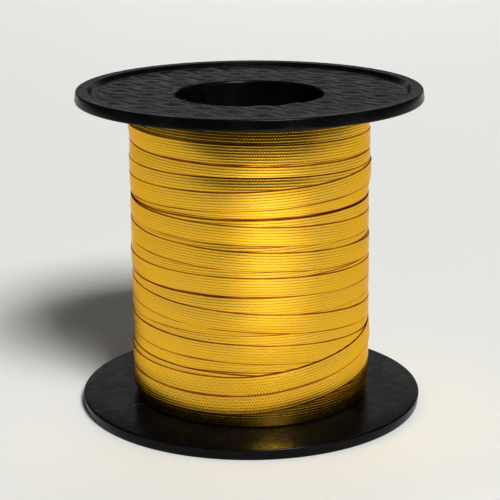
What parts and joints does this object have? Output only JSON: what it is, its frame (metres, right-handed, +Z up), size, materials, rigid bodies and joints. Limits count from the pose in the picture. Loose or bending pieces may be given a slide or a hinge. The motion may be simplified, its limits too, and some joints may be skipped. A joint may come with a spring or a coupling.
{
  "type": "ribbon reel",
  "caption": "Flanged black plastic reel wound full of narrow metallic gold curling ribbon, with a round bore for a spindle.",
  "frame": {"origin": "centre of the plane that the lower rim stands on, which is the bottom centre of the bounding box", "axes": "+Z up the axis of the reel and its bore; -Y is the front; the ribbon's cut end is at the back, near +Y"},
  "size_m": [0.0898, 0.0898, 0.0843],
  "materials": {
    "black_plastic": "satin",
    "gold_ribbon": "metallised gold film, finely embossed",
    "clear_tape": "clear gloss"
  },
  "bodies": {
    "root": {"lower_flange": "black_plastic", "hub": "black_plastic", "upper_flange": "black_plastic", "ribbon_winding": "gold_ribbon", "outer_turns": "gold_ribbon", "ribbon_tail": "gold_ribbon", "start_tape": "clear_tape", "end_tape": "clear_tape"}
  },
  "joints": []
}
